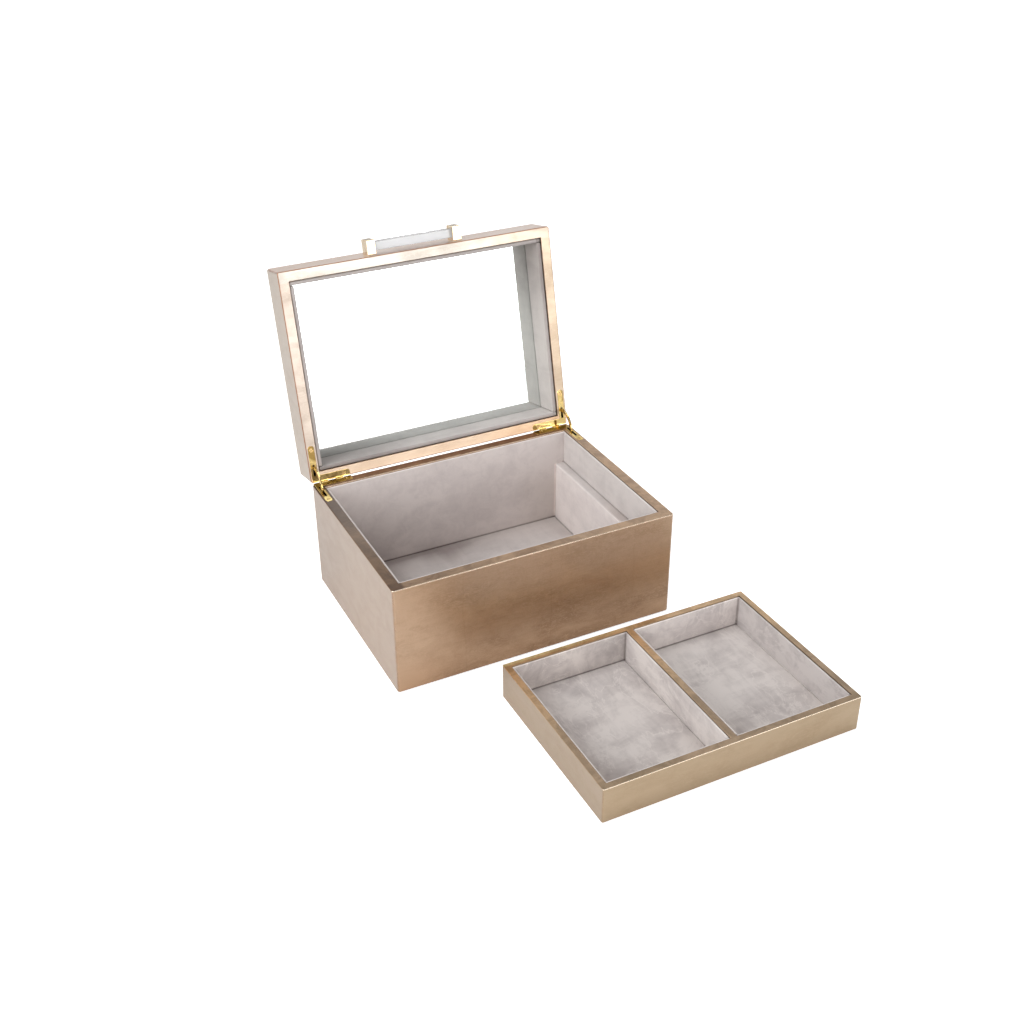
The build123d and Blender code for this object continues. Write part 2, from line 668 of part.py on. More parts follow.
with BuildPart() as tray_lining_left_inner:
    board(TX - T_INFACE_X, TX - T_IN_X, TY - T_FACE_Y, TY + T_FACE_Y, TRAY_FLOOR_Z, T_TOP)
tray_lining_left_inner.part.label = "tray_lining_left_inner"

with BuildPart() as tray_lining_right_front:
    board(TX + T_IN_X, TX + T_OUT_X, TY - T_BACK_Y, TY - T_FACE_Y, TRAY_FLOOR_Z, T_TOP)
tray_lining_right_front.part.label = "tray_lining_right_front"

with BuildPart() as tray_lining_right_back:
    board(TX + T_IN_X, TX + T_OUT_X, TY + T_FACE_Y, TY + T_BACK_Y, TRAY_FLOOR_Z, T_TOP)
tray_lining_right_back.part.label = "tray_lining_right_back"

with BuildPart() as tray_lining_right_inner:
    board(TX + T_IN_X, TX + T_INFACE_X, TY - T_FACE_Y, TY + T_FACE_Y, TRAY_FLOOR_Z, T_TOP)
tray_lining_right_inner.part.label = "tray_lining_right_inner"

with BuildPart() as tray_lining_right_outer:
    board(TX + T_FACE_X, TX + T_OUT_X, TY - T_FACE_Y, TY + T_FACE_Y, TRAY_FLOOR_Z, T_TOP)
tray_lining_right_outer.part.label = "tray_lining_right_outer"

with BuildPart() as tray_pad_left:
    board(TX - T_FACE_X, TX - T_INFACE_X, TY - T_FACE_Y, TY + T_FACE_Y,
          TRAY_FLOOR_Z, TRAY_FLOOR_TOP, 0.4)
tray_pad_left.part.label = "tray_pad_left"

with BuildPart() as tray_pad_right:
    board(TX + T_INFACE_X, TX + T_FACE_X, TY - T_FACE_Y, TY + T_FACE_Y,
          TRAY_FLOOR_Z, TRAY_FLOOR_TOP, 0.4)
tray_pad_right.part.label = "tray_pad_right"

# ===========================================================================
# one STEP file per piece
# ===========================================================================
PIECES = [
    base_wall_front, base_wall_back, base_wall_left, base_wall_right, base_bottom,
    base_lining_front, base_lining_back, base_lining_left, base_lining_right,
    base_ledge_left, base_ledge_right, base_floor_pad,
    lid_rail_front, lid_rail_back, lid_rail_left, lid_rail_right, lid_top_board,
    lid_mirror, lid_lining_front, lid_lining_back, lid_lining_left, lid_lining_right,
    handle_post_left, handle_post_right, handle_bar, handle_screws,
    hinge_base_leaf_left, hinge_base_leaf_right, hinge_lid_leaf_left,
    hinge_lid_leaf_right, hinge_pin_left, hinge_pin_right,
    hinge_base_screws, hinge_lid_screws, stay_arm_left, stay_arm_right,
    tray_wall_front, tray_wall_back, tray_wall_left, tray_wall_right,
    tray_bottom, tray_divider,
    tray_lining_left_front, tray_lining_left_back, tray_lining_left_outer,
    tray_lining_left_inner, tray_lining_right_front, tray_lining_right_back,
    tray_lining_right_inner, tray_lining_right_outer, tray_pad_left, tray_pad_right,
]
for piece in PIECES:
    export_step(piece.part, "parts/" + piece.part.label + ".step")
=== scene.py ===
import bpy
import json
import math
import numpy as np
from mathutils import Matrix, Vector, noise


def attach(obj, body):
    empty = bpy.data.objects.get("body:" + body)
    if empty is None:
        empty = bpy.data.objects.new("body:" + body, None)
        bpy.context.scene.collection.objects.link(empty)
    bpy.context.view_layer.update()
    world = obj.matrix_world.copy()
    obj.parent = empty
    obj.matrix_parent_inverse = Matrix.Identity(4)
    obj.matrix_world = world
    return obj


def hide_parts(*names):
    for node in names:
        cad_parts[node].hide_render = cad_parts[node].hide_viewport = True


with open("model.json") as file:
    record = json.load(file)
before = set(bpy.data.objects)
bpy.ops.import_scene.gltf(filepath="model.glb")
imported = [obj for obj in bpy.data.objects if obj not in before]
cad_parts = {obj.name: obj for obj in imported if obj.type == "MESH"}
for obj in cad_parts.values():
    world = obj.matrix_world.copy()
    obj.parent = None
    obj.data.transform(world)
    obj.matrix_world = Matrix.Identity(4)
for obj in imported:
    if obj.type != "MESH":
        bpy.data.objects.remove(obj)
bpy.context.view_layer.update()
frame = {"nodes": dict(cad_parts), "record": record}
NODES = frame["nodes"]
BODY_OF = {n: b for b, ns in frame["record"]["behaviour"]["bodies"].items() for n in ns}

# ---------------------------------------------------------------------------
# Jewelry box: champagne gold leaf over wood, grey suede lining, a mirror in
# the lid, brass hinges with stay arms, an acrylic handle and a lift-out tray.
# Metres, in the row frame: origin under the middle of the base, +Y to the
# hinges. At rest the lid leans back past upright by LEAN.
# ---------------------------------------------------------------------------
LEAN = math.radians(12.6)
LID_ORIGIN = Vector((0.0, 0.104428, 0.107866))      # back rim corner of the open lid
LID_UP = Vector((0.0, math.sin(LEAN), math.cos(LEAN)))
LID_OUT = Vector((0.0, -math.cos(LEAN), math.sin(LEAN)))
LID_M = Matrix(((1, LID_UP.x, LID_OUT.x, LID_ORIGIN.x),
                (0, LID_UP.y, LID_OUT.y, LID_ORIGIN.y),
                (0, LID_UP.z, LID_OUT.z, LID_ORIGIN.z),
                (0, 0, 0, 1)))
FLAT_M = Matrix.Identity(4)


# ---------------------------------------------------------------------------
# node helpers
# ---------------------------------------------------------------------------
class Tree:
    """A few short words for building a node material."""

    def __init__(self, name):
        self.mat = bpy.data.materials.new(name)
        self.mat.use_nodes = True
        self.nt = self.mat.node_tree
        self.nt.nodes.clear()
        self.out = self.nt.nodes.new("ShaderNodeOutputMaterial")
        self.bsdf = self.nt.nodes.new("ShaderNodeBsdfPrincipled")
        self.nt.links.new(self.bsdf.outputs["BSDF"], self.out.inputs["Surface"])
        self.coord = self.nt.nodes.new("ShaderNodeTexCoord")

    def set(self, **values):
        for key, value in values.items():
            self.bsdf.inputs[key.replace("_", " ")].default_value = value

    def put(self, socket, value):
        if isinstance(value, (int, float, tuple)):
            socket.default_value = value
        elif value is not None:
            self.nt.links.new(value, socket)

    def link(self, name, value):
        self.put(self.bsdf.inputs[name], value)

    @property
    def object(self):
        return self.coord.outputs["Object"]

    @property
    def normal(self):
        return self.coord.outputs["Normal"]

    def mapping(self, vec, scale=(1, 1, 1), rot=(0, 0, 0), loc=(0, 0, 0)):
        n = self.nt.nodes.new("ShaderNodeMapping")
        self.put(n.inputs["Vector"], vec)
        n.inputs["Location"].default_value = loc
        n.inputs["Rotation"].default_value = rot
        n.inputs["Scale"].default_value = scale
        return n.outputs["Vector"]

    def turn(self, vec, angle, centre=(0, 0, 0)):
        n = self.nt.nodes.new("ShaderNodeVectorRotate")
        n.rotation_type = "X_AXIS"
        self.put(n.inputs["Vector"], vec)
        n.inputs["Center"].default_value = centre
        n.inputs["Angle"].default_value = angle
        return n.outputs["Vector"]

    def noise(self, vec, scale, detail=3.0, rough=0.5, distort=0.0, colour=False):
        n = self.nt.nodes.new("ShaderNodeTexNoise")
        self.put(n.inputs["Vector"], vec)
        n.inputs["Scale"].default_value = scale
        n.inputs["Detail"].default_value = detail
        n.inputs["Roughness"].default_value = rough
        n.inputs["Distortion"].default_value = distort
        return n.outputs["Color" if colour else "Fac"]

    def voronoi(self, vec, scale, feature="F1", out="Distance", rand=1.0):
        n = self.nt.nodes.new("ShaderNodeTexVoronoi")
        n.feature = feature
        self.put(n.inputs["Vector"], vec)
        n.inputs["Scale"].default_value = scale
        n.inputs["Randomness"].default_value = rand
        return n.outputs[out]

    def ramp(self, fac, *stops, mode="LINEAR"):
        n = self.nt.nodes.new("ShaderNodeValToRGB")
        self.put(n.inputs["Fac"], fac)
        n.color_ramp.interpolation = mode
        el = n.color_ramp.elements
        while len(el) > len(stops):
            el.remove(el[-1])
        while len(el) < len(stops):
            el.new(0.5)
        for e, (pos, val) in zip(el, stops):
            e.position = pos
            e.color = (val, val, val, 1) if isinstance(val, (int, float)) else (*val, 1)
        return n.outputs["Color"]

    def range(self, value, lo, hi, to_lo=0.0, to_hi=1.0, smooth=True):
        n = self.nt.nodes.new("ShaderNodeMapRange")
        n.interpolation_type = "SMOOTHSTEP" if smooth else "LINEAR"
        self.put(n.inputs["Value"], value)
        n.inputs["From Min"].default_value = lo
        n.inputs["From Max"].default_value = hi
        n.inputs["To Min"].default_value = to_lo
        n.inputs["To Max"].default_value = to_hi
        return n.outputs["Result"]

    def math(self, op, a, b=None, c=None, clamp=False):
        n = self.nt.nodes.new("ShaderNodeMath")
        n.operation = op
        n.use_clamp = clamp
        self.put(n.inputs[0], a)
        if b is not None:
            self.put(n.inputs[1], b)
        if c is not None:
            self.put(n.inputs[2], c)
        return n.outputs[0]

    def vmath(self, op, a, b=None, scale=None):
        n = self.nt.nodes.new("ShaderNodeVectorMath")
        n.operation = op
        self.put(n.inputs[0], a)
        if b is not None:
            self.put(n.inputs[1], b)
        if scale is not None:
            n.inputs["Scale"].default_value = scale
        return n.outputs["Vector"]

    def xyz(self, vec):
        n = self.nt.nodes.new("ShaderNodeSeparateXYZ")
        self.put(n.inputs[0], vec)
        return n.outputs[0], n.outputs[1], n.outputs[2]

    def join(self, x, y, z):
        n = self.nt.nodes.new("ShaderNodeCombineXYZ")
        for i, v in enumerate((x, y, z)):
            self.put(n.inputs[i], v)
        return n.outputs[0]

    def mix(self, fac, a, b, mode="MIX"):
        n = self.nt.nodes.new("ShaderNodeMix")
        n.data_type = "RGBA"
        n.blend_type = mode
        n.clamp_factor = True
        self.put(n.inputs[0], fac)
        for i, v in ((6, a), (7, b)):
            self.put(n.inputs[i], (*v, 1.0) if isinstance(v, tuple) and len(v) == 3 else v)
        return n.outputs[2]

    def within(self, value, lo, hi, soft):
        """1 between lo and hi, fading out over soft on either side."""
        a = self.range(value, lo - soft, lo + soft)
        b = self.range(value, hi - soft, hi + soft, 1.0, 0.0)
        return self.math("MULTIPLY", a, b)

    def gain(self, colour, mask, by):
        """Multiply a colour by another where the mask is 1."""
        return self.mix(mask, colour, by, mode="MULTIPLY")

    def bump(self, height, distance, strength=1.0, normal=None):
        n = self.nt.nodes.new("ShaderNodeBump")
        self.put(n.inputs["Height"], height)
        n.inputs["Strength"].default_value = strength
        n.inputs["Distance"].default_value = distance
        if normal is not None:
            self.put(n.inputs["Normal"], normal)
        return n.outputs["Normal"]


# ---------------------------------------------------------------------------
# materials
# ---------------------------------------------------------------------------
def gold_leaf(name, light, dark, lid=False, cloud=0.6, rim=None, rim_z=(9.0, 9.1), edge=0.45, rough=0.36, seed=0.0,
              shade=None, side=None, top=None, painted_light_and_tone_places=(), painted_glint=0.0, calm=0.15, bole=(0.50, 0.235, 0.105),
              edge_from=0.03):
    """Champagne metal leaf under a satin lacquer: clouded tone, fine wisps and
    wrinkles in the leaf, faint laps between leaves, copper bole at the edges; on top of that painted shade and light: a
    darker rim flat, darker end and upward faces, deeper long faces, region-by-region painted light and shade, and a
    painted highlight along the front edge."""
    t = Tree(name)
    co, nrm = t.object, t.normal
    if lid:
        co = t.turn(co, LEAN, tuple(LID_ORIGIN))
        nrm = t.turn(nrm, LEAN)
    x, y, z = t.xyz(co)
    nx, ny, nz = t.xyz(nrm)
    base = t.vmath("ADD", co, (seed, seed * 0.7, seed * 1.3))
    flat = t.mapping(base, scale=(1.0, 1.0, 2.6))

    # slow clouds of oxidised tone, longer than they are high
    clouds = t.noise(flat, 9.0, 3.0, 0.55, 0.9)
    clouds = t.range(clouds, 0.40, 0.66)
    # wisps: thin lighter folds in the leaf, only where the clouds are
    wisps = t.noise(t.mapping(base, scale=(1.0, 1.0, 3.4), rot=(0, 0.12, 0)), 55.0, 6.0, 0.62, 1.8)
    wisp_line = t.range(t.math("ABSOLUTE", t.math("SUBTRACT", wisps, 0.52)), 0.0, 0.05, 1.0, 0.0)
    # medium mottling and fine speckle
    mottle = t.noise(t.mapping(base, scale=(1.0, 1.0, 1.8)), 42.0, 5.0, 0.6, 0.6)
    speck = t.noise(base, 900.0, 2.0, 0.6)
    brush = t.noise(t.mapping(base, scale=(1.0, 1.0, 22.0)), 30.0, 4.0, 0.6)

    # laps between the leaves, about 85 mm apart, wavering a little
    wav = t.noise(base, 20.0, 2.0, 0.5, colour=True)
    wx, wy, wz = t.xyz(t.vmath("SCALE", t.vmath("SUBTRACT", wav, (0.5, 0.5, 0.5)), scale=0.010))
    along = t.math("ADD", t.math("ADD", x, y), wx)
    up = t.math("ADD", z, wz)
    cell_a = t.math("ABSOLUTE", t.math("SUBTRACT", t.math("FRACT", t.math("MULTIPLY", t.math("ADD", along, 3.013 + seed), 1 / 0.086)), 0.5))
    cell_b = t.math("ABSOLUTE", t.math("SUBTRACT", t.math("FRACT", t.math("MULTIPLY", t.math("ADD", up, 3.047 + seed), 1 / 0.086)), 0.5))
    lap = t.math("MAXIMUM", t.range(cell_a, 0.488, 0.5), t.range(cell_b, 0.488, 0.5))

    # the end faces were laid with whole leaves, so they are calm
    ends = t.range(t.math("ABSOLUTE", nx), 0.4, 0.8)
    lively = t.range(ends, 0.0, 1.0, 1.0, calm, smooth=False)
    clouds = t.math("MULTIPLY", clouds, lively)
    wisp_line = t.math("MULTIPLY", wisp_line, lively)

    tone = t.math("MULTIPLY", clouds, cloud)
    if shade is not None:
        # painted shade: the long faces are painted warmer and darker away from their left ends, most at mid-height,
        # standing in for the dim surroundings they reflect
        deep = t.math("MULTIPLY", t.range(x, shade[0], shade[1]), t.range(t.math("ABSOLUTE", ny), 0.4, 0.8))
        painted_dark_band = t.noise(t.mapping(base, scale=(1.0, 1.0, 2.2)), 6.0, 2.0, 0.5, 0.6)
        deep = t.math("MULTIPLY", deep, t.range(painted_dark_band, 0.25, 0.6, 0.85, 1.05))
        deep = t.math("MULTIPLY", deep, t.range(t.math("ABSOLUTE", t.math("SUBTRACT", z, 0.055)), 0.015, 0.05, 1.12, 0.78))
        tone = t.math("ADD", t.math("MULTIPLY", tone, shade[3]), t.math("MULTIPLY", deep, shade[2]))
    soft_mottle = t.math("MULTIPLY", t.range(mottle, 0.3, 0.72, -0.08, 0.08), t.range(ends, 0.0, 1.0, 1.0, 0.5, smooth=False))
    tone = t.math("ADD", tone, soft_mottle)
    tone = t.math("ADD", tone, t.range(brush, 0.3, 0.7, -0.04, 0.04))
    tone = t.math("SUBTRACT", tone, t.math("MULTIPLY", t.math("MULTIPLY", wisp_line, clouds), 0.30))
    tone = t.math("ADD", tone, t.math("MULTIPLY", lap, 0.07))
    tone = t.math("ADD", tone, t.range(speck, 0.35, 0.65, -0.05, 0.05), clamp=True)
    colour = t.mix(tone, light, dark)
    # painted shade: the end faces (facing ±x) are painted darker and cooler
    if side is not None:
        colour = t.gain(colour, ends, side)
    # painted shade: faces turned upward are painted darker
    if top is not None:
        colour = t.gain(colour, t.range(nz, 0.4, 0.8), top)

    if rim is not None:
        # painted shade: the flat of the rim is painted darker, with patches of varied tone
        rim_shade_mask = t.math("MULTIPLY", t.range(nz, 0.55, 0.95), t.range(z, rim_z[0], rim_z[1]))
        patch = t.noise(base, 60.0, 5.0, 0.65, 1.0)
        rim_shade_colour = t.mix(t.range(patch, 0.34, 0.66), rim[0], rim[1])
        colour = t.mix(rim_shade_mask, colour, rim_shade_colour)
    # painted light and shade: rims, rails and faces are painted lighter or darker region by region to follow the light;
    # the thinnest strips along the lid's outer edges deepen its copper edge line
    axes = {"x": x, "y": y, "z": z, "nx": nx, "ny": ny, "nz": nz}
    for where, by in painted_light_and_tone_places:
        mask = None
        for axis, (lo, hi, soft) in where.items():
            m = t.within(axes[axis], lo, hi, soft)
            mask = m if mask is None else t.math("MULTIPLY", mask, m)
        colour = t.gain(colour, mask, by)

    # edges: where the lacquer thins over the rounded edge the copper bole shows
    ax = t.math("ABSOLUTE", nx)
    ay = t.math("ABSOLUTE", ny)
    az = t.math("ABSOLUTE", nz)
    off_axis = t.math("SUBTRACT", 1.0, t.math("MAXIMUM", ax, t.math("MAXIMUM", ay, az)))
    worn = t.noise(base, 140.0, 4.0, 0.7)
    edge_mask = t.math("MULTIPLY", t.range(off_axis, edge_from, edge_from + 0.12), t.range(worn, 0.36, 0.62, 0.25, 1.0))
    if lid:
        # the edges round the rim are rubbed most, those round the top hardly at all
        edge_mask = t.math("MULTIPLY", edge_mask, t.range(ny, 0.0, 0.25, 1.0, 0.30))
    colour = t.mix(t.math("MULTIPLY", edge_mask, edge), colour, bole)
    painted_glint_mask = t.math("MULTIPLY", t.range(off_axis, 0.03, 0.14), t.math("MULTIPLY", t.range(nz, 0.25, 0.5), t.range(ny, -0.5, -0.25, 1.0, 0.0)))
    if painted_glint:
        # painted highlight: the rounded front top edge is painted bright and made smoother
        colour = t.mix(t.math("MULTIPLY", painted_glint_mask, painted_glint), colour, (1.0, 0.88, 0.72))

    t.link("Base Color", colour)
    rough_map = t.math("ADD", rough, t.range(mottle, 0.3, 0.7, -0.05, 0.07))
    rough_map = t.math("ADD", rough_map, t.math("MULTIPLY", clouds, 0.05))
    rough_map = t.math("SUBTRACT", rough_map, t.math("MULTIPLY", edge_mask, 0.08))
    if painted_glint:
        rough_map = t.math("SUBTRACT", rough_map, t.math("MULTIPLY", painted_glint_mask, 0.14))
    t.link("Roughness", rough_map)
    wrinkle = t.noise(t.mapping(base, scale=(1, 1, 2.2)), 190.0, 4.0, 0.6, 1.2)
    n1 = t.bump(t.noise(base, 16.0, 2.0, 0.5), 0.0010, 0.35)
    n2 = t.bump(wrinkle, 0.00012, 0.8, n1)
    n3 = t.bump(lap, 0.00003, 0.6, n2)
    t.link("Normal", n3)
    t.set(Metallic=1.0, Coat_Weight=1.0, Coat_Roughness=0.27, Coat_IOR=1.5)
    return t.mat


def suede(name, light, dark, nap=0.75, lid=False, scale=1.0, seed=0.0, painted_light_and_tone_places=(), painted_crease_shade=(), painted_edge_highlight=(), marble=0.0):
    """Napped suede: brushed patches that lie either way, streaks from the hand
    that smoothed it, and short fibres; painted shade in corners and creases, and painted light on walls, floors and
    free edges."""
    t = Tree(name)
    co = t.object
    if lid:
        co = t.turn(co, LEAN, tuple(LID_ORIGIN))
    base = t.vmath("ADD", co, (seed, seed * 1.7, seed * 0.6))
    patch = t.noise(base, 13.0 * scale, 4.0, 0.5, 1.3)
    patch = t.range(patch, 0.38, 0.63)
    streak_a = t.noise(t.mapping(base, scale=(1.0, 0.28, 1.0), rot=(0, 0, 0.6)), 70.0 * scale, 4.0, 0.6, 1.1)
    streak_b = t.noise(t.mapping(base, scale=(0.3, 1.0, 0.6), rot=(0, 0.3, -0.45)), 52.0 * scale, 4.0, 0.6, 1.4)
    creases = t.range(t.math("ABSOLUTE", t.math("SUBTRACT", t.noise(base, 26.0 * scale, 5.0, 0.55, 1.3), 0.5)), 0.0, 0.035, 1.0, 0.0)
    fibre = t.noise(base, 1500.0, 3.0, 0.7)
    tone = t.math("MULTIPLY", patch, 0.55)
    tone = t.math("ADD", tone, t.range(streak_a, 0.32, 0.68, -0.2, 0.25))
    tone = t.math("ADD", tone, t.range(streak_b, 0.34, 0.66, -0.15, 0.2))
    tone = t.math("ADD", tone, t.math("MULTIPLY", creases, 0.14))
    tone = t.math("MULTIPLY", tone, nap)
    if marble:
        # finger tracks: thin lighter lines where the nap was pushed the other way
        track = t.noise(t.mapping(base, scale=(1.0, 0.45, 1.0), rot=(0, 0, 0.5)), 30.0 * scale, 6.0, 0.6, 1.2)
        line = t.range(t.math("ABSOLUTE", t.math("SUBTRACT", track, 0.5)), 0.0, 0.022, 1.0, 0.0)
        tone = t.math("SUBTRACT", tone, t.math("MULTIPLY", line, marble))
    tone = t.math("ADD", tone, t.range(fibre, 0.3, 0.7, -0.08, 0.08), clamp=True)
    colour = t.mix(tone, light, dark)
    # painted light and shade: walls, floors and corners are painted lighter where light falls and darker where shade
    # gathers, region by region
    axes = dict(zip("xyz", t.xyz(co)))
    for where, by in painted_light_and_tone_places:
        mask = None
        for axis, (lo, hi, soft) in where.items():
            m = t.within(axes[axis], lo, hi, soft)
            mask = m if mask is None else t.math("MULTIPLY", mask, m)
        colour = t.gain(colour, mask, by)
    # painted shade along the creases where boards meet, painted highlight along the free top edges
    for group, by in ((painted_crease_shade, (0.76, 0.74, 0.73)), (painted_edge_highlight, (1.05, 1.05, 1.05))):
        for where in group:
            mask = None
            for axis, (lo, hi, soft) in where.items():
                m = t.within(axes[axis], lo, hi, soft)
                mask = m if mask is None else t.math("MULTIPLY", mask, m)
            colour = t.gain(colour, mask, by)
    t.link("Base Color", colour)
    t.link("Roughness", t.range(patch, 0.0, 1.0, 0.86, 0.97))
    n1 = t.bump(t.noise(base, 240.0, 3.0, 0.6, 0.4), 0.00018, 0.45)
    n2 = t.bump(fibre, 0.00007, 0.8, n1)
    t.link("Normal", n2)
    t.set(Metallic=0.0, Sheen_Weight=0.28, Sheen_Roughness=0.45, Sheen_Tint=(0.97, 0.95, 0.94, 1.0), Specular_IOR_Level=0.2)
    return t.mat


def polished(name, colour, deep, rough, scale=1.0, brushed=0.03, coat=0.0, painted_dark_band=0.0, peel=0.00002):
    """Polished metal with hairline scratches, faint tarnish and a soft orange-peel; where asked, broad painted bands of
    darker colour stand in for dark reflections.
    """
    t = Tree(name)
    co = t.object
    tarnish = t.noise(co, 120.0 * scale, 4.0, 0.6, 0.8)
    tone = t.range(tarnish, 0.42, 0.78)
    if painted_dark_band:
        # painted reflection: broad bands of darker, browner colour stand in for the dark surroundings seen in the
        # polished metal
        painted_reflection_band = t.noise(t.mapping(co, scale=(1.0, 1.6, 0.8), rot=(0.4, 0.2, 0.7)), 48.0, 3.0, 0.55, 0.8)
        tone = t.math("MAXIMUM", t.math("MULTIPLY", t.range(painted_reflection_band, 0.44, 0.60), painted_dark_band), t.math("MULTIPLY", tone, 0.5))
    t.link("Base Color", t.mix(tone, colour, deep))
    hair = t.noise(t.mapping(co, scale=(1.0, 26.0, 26.0), rot=(0.2, 0.1, 0.3)), 140.0, 4.0, 0.7)
    t.link("Roughness", t.math("ADD", rough, t.range(hair, 0.35, 0.75, 0.0, brushed)))
    n1 = t.bump(t.noise(co, 110.0, 2.0, 0.5), peel, 0.6)
    n2 = t.bump(hair, 0.000002, 0.5, n1)
    t.link("Normal", n2)
    t.set(Metallic=1.0)
    if coat:
        t.set(Coat_Weight=coat, Coat_Roughness=0.05)
    return t.mat


def mirror():
    """Silvered glass: a clear face with the faintest haze of dust."""
    t = Tree("mirror_glass")
    haze = t.noise(t.object, 30.0, 4.0, 0.6)
    dust = t.noise(t.object, 2400.0, 2.0, 0.6)
    t.link("Base Color", t.mix(t.math("MULTIPLY", t.range(haze, 0.45, 0.8), t.range(dust, 0.62, 0.8)), (0.815, 0.855, 0.850), (0.77, 0.80, 0.795)))
    t.set(Metallic=1.0, Roughness=0.0)
    return t.mat


def acrylic():
    """Clear polished acrylic bar, faintly cool, with fine handling marks."""
    t = Tree("clear_acrylic")
    mark = t.noise(t.mapping(t.object, scale=(1.0, 14.0, 14.0)), 160.0, 4.0, 0.7)
    tint = t.noise(t.object, 60.0, 2.0, 0.5)
    t.link("Base Color", t.mix(tint, (0.93, 0.94, 0.955), (0.88, 0.89, 0.905)))
    t.link("Roughness", t.range(mark, 0.55, 0.85, 0.03, 0.06))
    t.link("Normal", t.bump(tint, 0.00003, 0.3))
    t.set(Metallic=0.0, Transmission_Weight=0.62, IOR=1.49)
    return t.mat


def board(name, light, dark):
    """Fibreboard covered in thin flock: fine fibres, pressed unevenly."""
    t = Tree(name)
    co = t.object
    fibre = t.noise(t.mapping(co, scale=(1.0, 0.35, 1.0)), 1300.0, 4.0, 0.7)
    cloud = t.noise(co, 24.0, 3.0, 0.5, 0.5)
    tone = t.math("ADD", t.range(fibre, 0.3, 0.7, 0.15, 0.75), t.range(cloud, 0.35, 0.65, -0.15, 0.15), clamp=True)
    t.link("Base Color", t.mix(tone, light, dark))
    t.link("Roughness", t.range(cloud, 0.3, 0.7, 0.82, 0.95))
    t.link("Normal", t.bump(fibre, 0.0001, 0.7))
    t.set(Sheen_Weight=0.15, Sheen_Roughness=0.5, Specular_IOR_Level=0.25)
    return t.mat


LZ = LID_ORIGIN.z
GOLD_BASE = gold_leaf(
    "gold_leaf_base", (0.70, 0.50, 0.345), (0.35, 0.21, 0.112), cloud=0.55,
    rim=((0.50, 0.34, 0.21), (0.33, 0.215, 0.13)), rim_z=(0.100, 0.1065), edge=0.30,
    shade=(-0.130, -0.075, 0.42, 0.6), side=(0.76, 0.81, 0.90), painted_glint=0.85,
    # painted light and shade, region by region
    painted_light_and_tone_places=(({"x": (-0.2, -0.128, 0.0015), "nz": (0.5, 2.0, 0.2)}, (0.48, 0.42, 0.37)),
            ({"y": (0.0915, 0.2, 0.0010), "nz": (0.5, 2.0, 0.2)}, (0.70, 0.52, 0.40)),
            ({"y": (-0.2, -0.0900, 0.0010), "x": (-0.2, -0.060, 0.030), "nz": (0.5, 2.0, 0.2)}, (0.76, 0.70, 0.66)),
            ({"x": (0.060, 0.2, 0.030), "nz": (0.5, 2.0, 0.2)}, (1.10, 1.05, 1.0)),
            ({"x": (-0.2, -0.080, 0.045), "ny": (-2.0, -0.6, 0.2)}, (0.90, 0.87, 0.84)),
            ({"z": (-0.2, 0.020, 0.030), "ny": (-2.0, -0.6, 0.2)}, (0.97, 0.89, 0.80)),
            ({"x": (-0.2, -0.128, 0.0015), "y": (0.020, 0.2, 0.030), "nz": (0.5, 2.0, 0.2)}, (0.48, 0.38, 0.32)),
            ({"x": (-0.2, -0.128, 0.0015), "nz": (0.5, 2.0, 0.2)}, (0.88, 0.80, 0.72)),
            ({"x": (-0.055, 0.030, 0.040), "y": (-0.2, -0.0900, 0.0010), "nz": (0.5, 2.0, 0.2)}, (1.15, 1.10, 1.10)),
            ({"nx": (-2.0, -0.6, 0.2), "y": (0.040, 0.2, 0.060)}, (0.90, 0.89, 0.90))))
GOLD_LID = gold_leaf(
    "gold_leaf_lid", (0.88, 0.69, 0.53), (0.66, 0.46, 0.315), lid=True, cloud=0.40, edge=1.0, seed=1.7,
    bole=(0.34, 0.135, 0.055), edge_from=0.012, side=(0.72, 0.77, 0.82), top=(0.76, 0.72, 0.75),
    # painted light and shade, region by region; the thinnest edge strips deepen the copper edge line
    painted_light_and_tone_places=(({"z": (LZ + 0.1925, 1.0, 0.0008), "ny": (-2.0, -0.6, 0.2)}, (0.76, 0.90, 1.04)),
            ({"x": (0.1288, 1.0, 0.0008), "z": (LZ + 0.0110, LZ + 0.1925, 0.0010), "ny": (-2.0, -0.6, 0.2)}, (0.66, 0.66, 0.62)),
            ({"x": (-1.0, -0.1288, 0.0008), "z": (LZ + 0.0110, LZ + 0.1925, 0.0010), "ny": (-2.0, -0.6, 0.2)}, (0.74, 0.80, 0.88)),
            ({"z": (LZ - 0.01, LZ + 0.0115, 0.0010), "ny": (-2.0, -0.6, 0.2)}, (0.98, 0.97, 0.93)),
            ({"z": (LZ - 0.01, LZ + 0.0115, 0.0010), "x": (0.055, 1.0, 0.035), "ny": (-2.0, -0.6, 0.2)}, (0.89, 0.80, 0.70)),
            ({"z": (LZ + 0.1925, 1.0, 0.0008), "x": (0.070, 1.0, 0.040), "ny": (-2.0, -0.6, 0.2)}, (0.97, 0.84, 0.74)),
            ({"nx": (-2.0, -0.6, 0.2), "z": (LZ - 0.01, LZ + 0.120, 0.050)}, (0.92, 0.90, 0.89)),
            ({"nz": (0.5, 2.0, 0.2), "x": (-1.0, -0.060, 0.050)}, (0.90, 0.80, 0.70)),
            ({"x": (-1.0, -0.1387, 0.0004), "ny": (-2.0, -0.6, 0.2)}, (0.60, 0.40, 0.32)),
            ({"x": (0.1389, 1.0, 0.0003), "ny": (-2.0, -0.6, 0.2)}, (0.66, 0.50, 0.42)),
            ({"z": (LZ + 0.2023, 1.0, 0.0004), "ny": (-2.0, -0.6, 0.2)}, (0.60, 0.40, 0.32)),
            ({"z": (LZ - 0.01, LZ + 0.0008, 0.0004), "ny": (-2.0, -0.6, 0.2)}, (0.70, 0.54, 0.45))))
